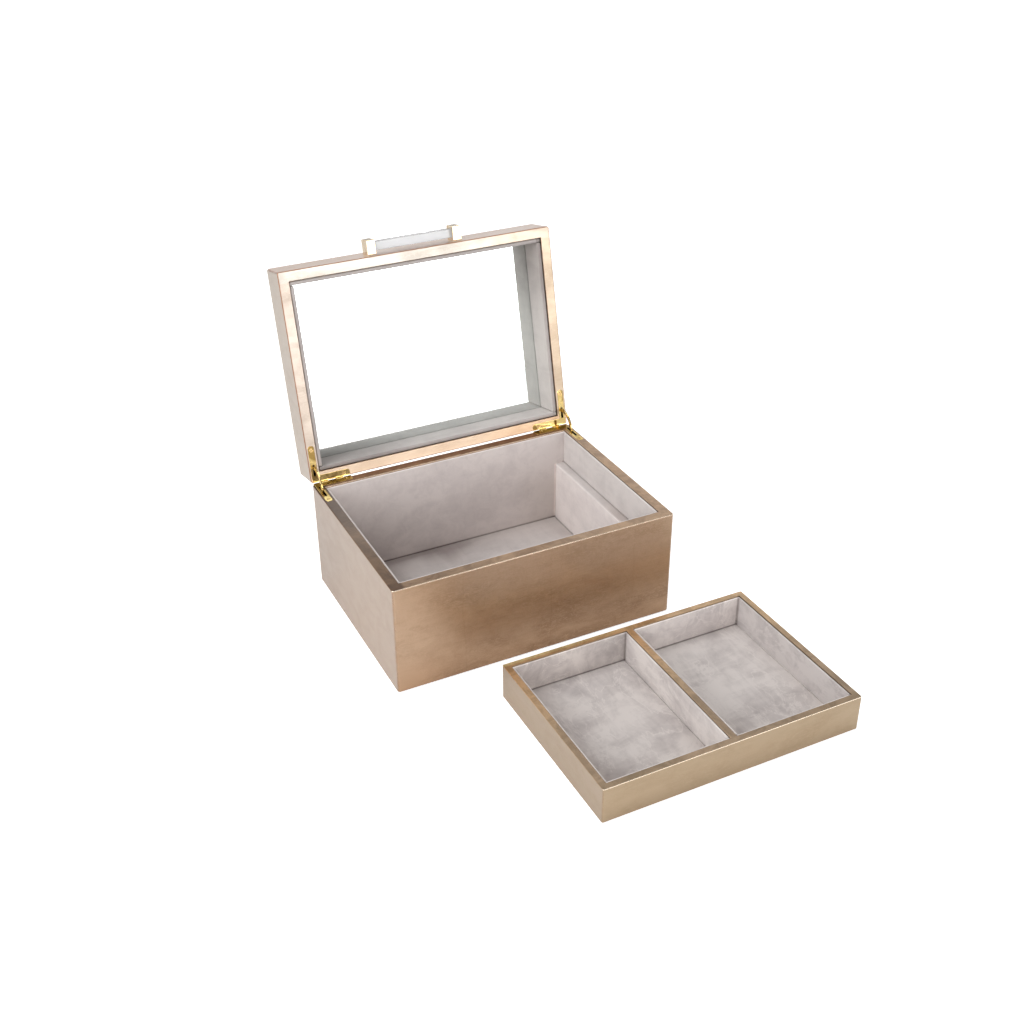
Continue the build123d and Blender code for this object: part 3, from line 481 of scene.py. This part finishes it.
GOLD_TRAY = gold_leaf(
    "gold_leaf_tray", (0.60, 0.45, 0.305), (0.45, 0.32, 0.195), cloud=0.40,
    rim=((0.42, 0.295, 0.185), (0.29, 0.20, 0.12)), rim_z=(0.030, 0.0335), edge=0.2, seed=3.1,
    side=(0.82, 0.83, 0.85), painted_glint=0.85, calm=0.1,
    # painted light and shade, region by region
    painted_light_and_tone_places=(({"y": (-0.225, 0.2, 0.060), "nz": (0.5, 2.0, 0.2), "z": (0.030, 0.2, 0.0005)}, (1.68, 1.60, 1.42)),
            ({"y": (-0.1500, 0.2, 0.0020), "x": (-0.2, 0.050, 0.060), "nz": (0.5, 2.0, 0.2)}, (1.30, 1.70, 1.70)),
            ({"x": (-0.2, 0.000, 0.030), "y": (-0.4, -0.3125, 0.0010), "nz": (0.5, 2.0, 0.2)}, (0.80, 0.81, 0.78)),
            ({"x": (0.120, 0.3, 0.030), "y": (-0.4, -0.3125, 0.0010), "nz": (0.5, 2.0, 0.2)}, (0.87, 0.86, 0.81)),
            ({"ny": (-2.0, -0.6, 0.2)}, (0.95, 0.95, 0.90))))
BOARD = board("backing_board", (0.34, 0.30, 0.275), (0.22, 0.19, 0.175))
FX, FY = 0.1182, 0.0894          # faces of the lower side boards and of the end linings
SUEDE_BASE = suede(
    "suede_base", (0.60, 0.555, 0.535), (0.43, 0.39, 0.382), nap=0.55, marble=0.06,
    # painted light and shade, region by region
    painted_light_and_tone_places=(({"y": (0.0885, 0.2, 0.0005), "z": (0.0092, 0.2, 0.0004)}, (1.28, 1.26, 1.26)),
            ({"x": (0.1172, 0.1262, 0.0006), "z": (0.0092, 0.0725, 0.0004)}, (1.28, 1.27, 1.27)),
            ({"z": (0.0, 0.0093, 0.0003), "x": (0.030, 0.119, 0.05)}, (1.20, 1.20, 1.20)),
            ({"z": (0.0, 0.0093, 0.0003), "x": (-0.2, 0.015, 0.03)}, (0.73, 0.69, 0.69)),
            ({"z": (0.0725, 0.0745, 0.0004), "y": (-0.2, -0.010, 0.030)}, (0.84, 0.80, 0.78)),
            ({"y": (0.0885, 0.2, 0.0005), "x": (0.085, 0.2, 0.030), "z": (0.0, 0.062, 0.020)}, (0.82, 0.81, 0.79)),
            ({"y": (0.0885, 0.2, 0.0005), "x": (-0.2, -0.090, 0.045), "z": (0.0, 0.045, 0.030)}, (0.56, 0.54, 0.54))),
    # painted shade in the creases
    painted_crease_shade=({"z": (0.0078, 0.0094, 0.0005)},
           {"y": (FY - 0.0007, FY + 0.0006, 0.0005), "z": (0.0, 0.0100, 0.0006)},
           {"x": (0.1266, 0.1276, 0.0003), "z": (0.0722, 0.0740, 0.0004)}),
    # painted highlight on the free top edges
    painted_edge_highlight=({"z": (0.1066, 0.2, 0.0003)}, {"x": (FX - 0.0004, FX + 0.0018, 0.0006), "z": (0.0722, 0.0745, 0.0005)}))
SUEDE_LID = suede(
    "suede_lid", (0.60, 0.56, 0.535), (0.42, 0.385, 0.375), nap=0.5, lid=True, seed=2.3,
    # painted light and shade, region by region
    painted_light_and_tone_places=(({"z": (LZ, LZ + 0.0150, 0.0005), "x": (-0.2, -0.045, 0.040)}, (0.74, 0.73, 0.73)),
            ({"z": (LZ, LZ + 0.0150, 0.0005), "x": (-0.2, 0.060, 0.050)}, (0.92, 0.92, 0.92)),
            ({"x": (0.1245, 0.2, 0.0005), "z": (LZ + 0.130, LZ + 0.25, 0.040)}, (0.72, 0.70, 0.70)),
            ({"x": (0.1245, 0.2, 0.0005)}, (0.92, 0.92, 0.91)),
            ({"y": (0.0, 0.1060, 0.0006)}, (0.80, 0.78, 0.78))))
TXC, TYC = 0.0651, -0.2342       # middle of the tray
SUEDE_TRAY = suede(
    "suede_tray", (0.62, 0.575, 0.552), (0.42, 0.38, 0.372), nap=0.95, seed=5.1, marble=0.42,
    # painted light and shade, region by region
    painted_light_and_tone_places=(({"x": (TXC + 0.005, 0.3, 0.001), "y": (TYC + 0.0785, 0.0, 0.0006), "z": (0.0046, 0.2, 0.0004)}, (1.28, 1.27, 1.27)),
            ({"x": (TXC + 0.1154, 0.3, 0.0006), "z": (0.0046, 0.2, 0.0004)}, (0.84, 0.84, 0.85)),
            ({"x": (-0.2, TXC - 0.0900, 0.0200), "z": (0.0, 0.0046, 0.0003)}, (0.78, 0.75, 0.74)),
            ({"y": (TYC + 0.0785, 0.0, 0.0006), "x": (-0.2, TXC - 0.030, 0.030), "z": (0.0046, 0.2, 0.0004)}, (1.22, 1.20, 1.18)),
            ({"x": (TXC, TXC + 0.0130, 0.0040), "z": (0.0, 0.0046, 0.0003)}, (0.86, 0.84, 0.83)),
            ({"y": (-0.5, TYC - 0.0300, 0.0280), "x": (-0.2, TXC - 0.0850, 0.0350), "z": (0.0, 0.0046, 0.0003)}, (0.68, 0.65, 0.64)),
            ({"y": (-0.5, TYC - 0.0300, 0.0280), "x": (TXC, TXC + 0.0300, 0.0300), "z": (0.0, 0.0046, 0.0003)}, (0.66, 0.63, 0.62)),
            ({"y": (-0.5, TYC - 0.0300, 0.0350), "z": (0.0, 0.0046, 0.0003)}, (0.94, 0.93, 0.92))),
    # painted shade in the creases
    painted_crease_shade=({"z": (0.0036, 0.0045, 0.0004), "y": (TYC + 0.0785, 0.0, 0.0005)},
           {"y": (TYC + 0.0790, TYC + 0.0800, 0.0004), "z": (0.0, 0.0048, 0.0003)},
           {"x": (TXC - 0.0062, TXC - 0.0046, 0.0004), "y": (TYC + 0.0775, 0.0, 0.0005)},
           {"x": (TXC + 0.1154, TXC + 0.1172, 0.0004), "y": (TYC + 0.0775, 0.0, 0.0005)}),
    # painted highlight on the free top edges
    painted_edge_highlight=({"z": (0.0334, 0.2, 0.0003)},))
MIRROR = mirror()
ACRYLIC = acrylic()
POST_GOLD = polished("polished_handle", (0.93, 0.79, 0.60), (0.78, 0.56, 0.34), 0.10, brushed=0.03)
BRASS = polished("hinge_brass", (0.99, 0.75, 0.31), (0.29, 0.155, 0.025), 0.07, brushed=0.03, painted_dark_band=0.75)
BRASS_SCREW = polished("screw_brass", (0.72, 0.50, 0.22), (0.45, 0.29, 0.12), 0.16, scale=2.0, brushed=0.08)
STEEL = polished("hidden_screws", (0.60, 0.60, 0.62), (0.40, 0.40, 0.42), 0.25, brushed=0.10)

FINISH = {
    "base_bottom": BOARD, "tray_bottom": BOARD, "lid_mirror": MIRROR, "handle_bar": ACRYLIC,
    "handle_post_left": POST_GOLD, "handle_post_right": POST_GOLD, "handle_screws": STEEL,
    "hinge_base_screws": BRASS_SCREW, "hinge_lid_screws": BRASS_SCREW,
}
for name, obj in NODES.items():
    mat = FINISH.get(name)
    if mat is None:
        if name.startswith(("hinge", "stay_arm")):
            mat = BRASS
        elif name.startswith("lid_"):
            mat = GOLD_LID
        elif name.startswith("tray_"):
            mat = GOLD_TRAY
        else:
            mat = GOLD_BASE
    obj.data.materials.clear()
    obj.data.materials.append(mat)


# ---------------------------------------------------------------------------
# suede-wrapped boards and pads
# ---------------------------------------------------------------------------
def stations(lo, hi, cell, r):
    """Places along one edge of a board: close together over the rounded ends,
    then even."""
    ends = [0.0, 0.18 * r, 0.42 * r, 0.70 * r, r, 1.6 * r]
    inner_lo, inner_hi = lo + ends[-1], hi - ends[-1]
    if inner_hi - inner_lo < cell * 0.5:
        mid = (lo + hi) / 2
        left = [lo + e for e in ends if lo + e < mid - 1e-6]
        return left + [mid] + [hi - (p - lo) for p in reversed(left)]
    count = max(2, int(round((inner_hi - inner_lo) / cell)))
    inner = list(np.linspace(inner_lo, inner_hi, count + 1))
    return [lo + e for e in ends[:-1]] + inner + [hi - e for e in reversed(ends[:-1])]


def wrapped_board(name, node, face, mat, frame_m=FLAT_M, r=0.0009, crown=0.00025, cell=0.0035,
                  inset=0.00012, waver=0.00012, pucker=0.00010, seed=0):
    """A board or pad in a suede wrap that takes the place of one CAD node.
    face is the side that shows, as (axis, sign) in frame_m's own axes."""
    inv = frame_m.inverted()
    pts = np.array([inv @ v.co for v in NODES[node].data.vertices], float)
    lo, hi = pts.min(0) + inset, pts.max(0) - inset
    axis, sign = face
    # the back of the board stays where it is glued; only the shown sides draw in
    thick = hi[axis] - lo[axis]
    r = min(r, thick * 0.48)
    cuts = [stations(lo[k], hi[k], cell, r) for k in range(3)]
    cuts[axis] = stations(lo[axis], hi[axis], cell, r) if thick > 2.5 * r else [
        lo[axis] + f * thick for f in (0.0, 0.2, 0.42, 0.58, 0.8, 1.0)]
    grid_index, verts, faces = {}, [], []

    def vert(i, j, k):
        key = (i, j, k)
        if key not in grid_index:
            grid_index[key] = len(verts)
            verts.append((cuts[0][i], cuts[1][j], cuts[2][k]))
        return grid_index[key]

    n = [len(c) for c in cuts]
    for k in (0, n[2] - 1):
        for i in range(n[0] - 1):
            for j in range(n[1] - 1):
                q = [vert(i, j, k), vert(i + 1, j, k), vert(i + 1, j + 1, k), vert(i, j + 1, k)]
                faces.append(q if k else q[::-1])
    for j in (0, n[1] - 1):
        for i in range(n[0] - 1):
            for k in range(n[2] - 1):
                q = [vert(i, j, k), vert(i + 1, j, k), vert(i + 1, j, k + 1), vert(i, j, k + 1)]
                faces.append(q[::-1] if j else q)
    for i in (0, n[0] - 1):
        for j in range(n[1] - 1):
            for k in range(n[2] - 1):
                q = [vert(i, j, k), vert(i, j + 1, k), vert(i, j + 1, k + 1), vert(i, j, k + 1)]
                faces.append(q if i else q[::-1])
    p = np.array(verts, float)
    # round the edges and corners of the wrap
    core = np.clip(p, lo + r, hi - r)
    off = p - core
    size = np.linalg.norm(off, axis=1, keepdims=True)
    size[size < 1e-12] = 1.0
    rounded = core + off / size * r
    # crown, waver and puckers on the side that shows
    others = [k for k in range(3) if k != axis]
    u = (p[:, others[0]] - lo[others[0]]) / (hi[others[0]] - lo[others[0]])
    v = (p[:, others[1]] - lo[others[1]]) / (hi[others[1]] - lo[others[1]])
    du = np.minimum(p[:, others[0]] - lo[others[0]], hi[others[0]] - p[:, others[0]])
    dv = np.minimum(p[:, others[1]] - lo[others[1]], hi[others[1]] - p[:, others[1]])
    rim_d = np.clip(np.minimum(du, dv) / 0.009, 0, 1)
    soft = rim_d * rim_d * (3 - 2 * rim_d)
    dome = (1 - np.abs(2 * u - 1) ** 6) * (1 - np.abs(2 * v - 1) ** 6)
    shown = (p[:, axis] - lo[axis]) / thick if sign > 0 else (hi[axis] - p[:, axis]) / thick
    shown = np.clip(shown, 0, 1)
    lift = np.zeros(len(p))
    for i in range(len(p)):
        if shown[i] <= 0.01:
            continue
        q = Vector(p[i]) + Vector((seed * 0.31, seed * 0.17, seed * 0.23))
        slow = noise.noise(q * 28.0) + 0.5 * noise.noise(q * 61.0)
        fast = noise.noise(q * 150.0)
        near = math.exp(-min(du[i], dv[i]) / 0.005)
        lift[i] = shown[i] * (crown * dome[i] * soft[i] + waver * slow * soft[i] + pucker * fast * (0.25 + near) * min(1.0, min(du[i], dv[i]) / 0.0012))
    rounded[:, axis] += sign * lift
    mesh = bpy.data.meshes.new(name)
    mesh.from_pydata([tuple(frame_m @ Vector(c)) for c in rounded], [], faces)
    mesh.validate()
    for f in mesh.polygons:
        f.use_smooth = True
    mesh.materials.append(mat)
    obj = bpy.data.objects.new(name, mesh)
    bpy.context.scene.collection.objects.link(obj)
    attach(obj, BODY_OF[node])
    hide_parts(node)
    return obj


X, Y, Z = 0, 1, 2
wrapped_board("suede_base_front", "base_lining_front", (Y, 1), SUEDE_BASE, seed=1)
wrapped_board("suede_base_back", "base_lining_back", (Y, -1), SUEDE_BASE, seed=2)
wrapped_board("suede_base_left", "base_lining_left", (X, 1), SUEDE_BASE, seed=3)
wrapped_board("suede_base_right", "base_lining_right", (X, -1), SUEDE_BASE, seed=4)
wrapped_board("suede_ledge_left", "base_ledge_left", (X, 1), SUEDE_BASE, r=0.0016, seed=5)
wrapped_board("suede_ledge_right", "base_ledge_right", (X, -1), SUEDE_BASE, r=0.0016, seed=6)
wrapped_board("suede_floor_pad", "base_floor_pad", (Z, 1), SUEDE_BASE, r=0.0010, crown=0.0009, waver=0.00025, seed=7)
for side, face, k in (("front", (Y, -1), 8), ("back", (Y, 1), 9), ("left", (X, 1), 10), ("right", (X, -1), 11)):
    wrapped_board(f"suede_lid_{side}", f"lid_lining_{side}", face, SUEDE_LID, frame_m=LID_M, r=0.0015, crown=0.0003, seed=k)
for k, (tail, face) in enumerate((
        ("left_front", (Y, 1)), ("left_back", (Y, -1)), ("left_outer", (X, 1)), ("left_inner", (X, -1)),
        ("right_front", (Y, 1)), ("right_back", (Y, -1)), ("right_inner", (X, 1)), ("right_outer", (X, -1)))):
    wrapped_board(f"suede_tray_{tail}", f"tray_lining_{tail}", face, SUEDE_TRAY, r=0.0008, cell=0.003, seed=20 + k)
for side, k in (("left", 30), ("right", 31)):
    wrapped_board(f"suede_tray_pad_{side}", f"tray_pad_{side}", (Z, 1), SUEDE_TRAY, r=0.0006, crown=0.0007, cell=0.003, waver=0.00022, seed=k)


# ---------------------------------------------------------------------------
# floor, light and camera
# ---------------------------------------------------------------------------
def floor_material():
    """Pale seamless floor. Soft reflections see it a little darker, as they
    would past the edge of a lit sweep."""
    t = Tree("pale_floor")
    nt = t.nt
    lp = nt.nodes.new("ShaderNodeLightPath")
    sharp = t.math("MAXIMUM", lp.outputs["Is Camera Ray"], lp.outputs["Is Singular Ray"])
    soft_gloss = t.math("SUBTRACT", lp.outputs["Is Glossy Ray"], lp.outputs["Is Singular Ray"], clamp=True)
    grain = t.noise(t.object, 8.0, 2.0, 0.5)
    pale = t.mix(t.range(grain, 0.3, 0.7), (0.88, 0.88, 0.88), (0.86, 0.86, 0.865))
    t.link("Base Color", t.mix(soft_gloss, pale, FLOOR_IN_GLOSS))
    t.set(Roughness=0.9, Specular_IOR_Level=0.0, Emission_Color=(1, 1, 1, 1))
    t.link("Emission Strength", t.math("ADD", t.math("MULTIPLY", sharp, FLOOR_LIFT),
                                       t.math("MULTIPLY", lp.outputs["Is Singular Ray"], MIRRORED_LIFT)))
    return t.mat


FLOOR_IN_GLOSS = (0.78, 0.77, 0.76)
FLOOR_LIFT = 0.62
MIRRORED_LIFT = 0.45             # the mirror loses some light, the floor in it stays white
me = bpy.data.meshes.new("pale_floor")
S = 9.0
me.from_pydata([(-S, -S, -0.0002), (S, -S, -0.0002), (S, S, -0.0002), (-S, S, -0.0002)], [], [(0, 1, 2, 3)])
me.materials.append(floor_material())
floor = bpy.data.objects.new("pale_floor", me)
bpy.context.scene.collection.objects.link(floor)


def area_light(name, where, at, size, power, colour=(1, 1, 1)):
    data = bpy.data.lights.new(name, "AREA")
    data.shape = "RECTANGLE"
    data.size, data.size_y = size
    data.energy = power
    data.color = colour
    obj = bpy.data.objects.new(name, data)
    obj.location = where
    obj.rotation_mode = "QUATERNION"
    obj.rotation_quaternion = (Vector(at) - Vector(where)).to_track_quat("-Z", "Y")
    obj.visible_camera = False
    bpy.context.scene.collection.objects.link(obj)
    return obj


area_light("top_softbox", (0.45, 0.25, 2.2), (0.1, -0.05, 0.0), (1.6, 1.4), 10.0)
area_light("high_left_softbox", (-0.95, -0.15, 2.05), (0.05, 0.0, 0.0), (1.2, 1.2), 9.5)
area_light("left_softbox", (-2.0, -0.5, 1.05), (0.0, -0.1, 0.05), (1.6, 1.5), 27.5)
area_light("front_softbox", (1.1, -2.5, 0.60), (0.0, 0.1, 0.15), (2.0, 1.1), 15.0)


def studio():
    """Even white room, brighter at the horizon, with a darker quarter above
    the front, where nothing is lit."""
    world = bpy.data.worlds.new("studio")
    bpy.context.scene.world = world
    world.use_nodes = True
    nt = world.node_tree
    nt.nodes.clear()

    def node(kind, **inputs):
        n = nt.nodes.new(kind)
        for k, v in inputs.items():
            if hasattr(v, "links"):
                nt.links.new(v, n.inputs[k])
            else:
                n.inputs[k].default_value = v
        return n

    def calc(op, a, b):
        n = nt.nodes.new("ShaderNodeMath")
        n.operation = op
        for i, v in enumerate((a, b)):
            if hasattr(v, "links"):
                nt.links.new(v, n.inputs[i])
            else:
                n.inputs[i].default_value = v
        return n.outputs[0]

    def smooth(value, lo, hi, to_lo, to_hi):
        n = nt.nodes.new("ShaderNodeMapRange")
        n.interpolation_type = "SMOOTHSTEP"
        nt.links.new(value, n.inputs["Value"])
        for k, v in (("From Min", lo), ("From Max", hi), ("To Min", to_lo), ("To Max", to_hi)):
            n.inputs[k].default_value = v
        return n.outputs["Result"]

    out = nt.nodes.new("ShaderNodeOutputWorld")
    tc = nt.nodes.new("ShaderNodeTexCoord")
    sep = nt.nodes.new("ShaderNodeSeparateXYZ")
    nt.links.new(tc.outputs["Generated"], sep.inputs[0])
    up = smooth(sep.outputs[2], 0.0, 0.9, 1.05, 0.50)
    dot = nt.nodes.new("ShaderNodeVectorMath")
    dot.operation = "DOT_PRODUCT"
    nt.links.new(tc.outputs["Generated"], dot.inputs[0])
    dot.inputs[1].default_value = Vector((0.30, -0.60, 0.74)).normalized()
    dark = smooth(dot.outputs["Value"], 0.72, 0.97, 1.0, 0.50)
    level = calc("MULTIPLY", up, dark)
    lp = nt.nodes.new("ShaderNodeLightPath")
    sharp = calc("MAXIMUM", lp.outputs["Is Camera Ray"], lp.outputs["Is Singular Ray"])
    lit = node("ShaderNodeBackground", Color=(1, 1, 1, 1), Strength=level)
    mirrored = calc("ADD", calc("MULTIPLY", lp.outputs["Is Singular Ray"], MIRRORED_LIFT), 1.0)
    seen = node("ShaderNodeBackground", Color=(1, 1, 1, 1), Strength=mirrored)
    mix = nt.nodes.new("ShaderNodeMixShader")
    nt.links.new(sharp, mix.inputs[0])
    nt.links.new(lit.outputs[0], mix.inputs[1])
    nt.links.new(seen.outputs[0], mix.inputs[2])
    nt.links.new(mix.outputs[0], out.inputs["Surface"])


studio()

cam_data = bpy.data.cameras.new("camera")
cam_data.sensor_width = 36.0
cam_data.lens = 46.323
cam_data.clip_start, cam_data.clip_end = 0.05, 60.0
cam = bpy.data.objects.new("camera", cam_data)
right, up, backward = Vector((0.895035, -0.445959, -0.006078)), Vector((0.234319, 0.458597, 0.857193)), Vector((-0.379488, -0.768639, 0.514955))
cam.matrix_world = Matrix(((right.x, up.x, backward.x, -0.45352),
                           (right.y, up.y, backward.y, -0.96619),
                           (right.z, up.z, backward.z, 0.73486),
                           (0, 0, 0, 1)))
bpy.context.scene.collection.objects.link(cam)
bpy.context.scene.camera = cam

vs = bpy.context.scene.view_settings
vs.view_transform = "Standard"
vs.look = "None"
vs.exposure = 0.0
vs.gamma = 1.0

bpy.context.view_layer.update()
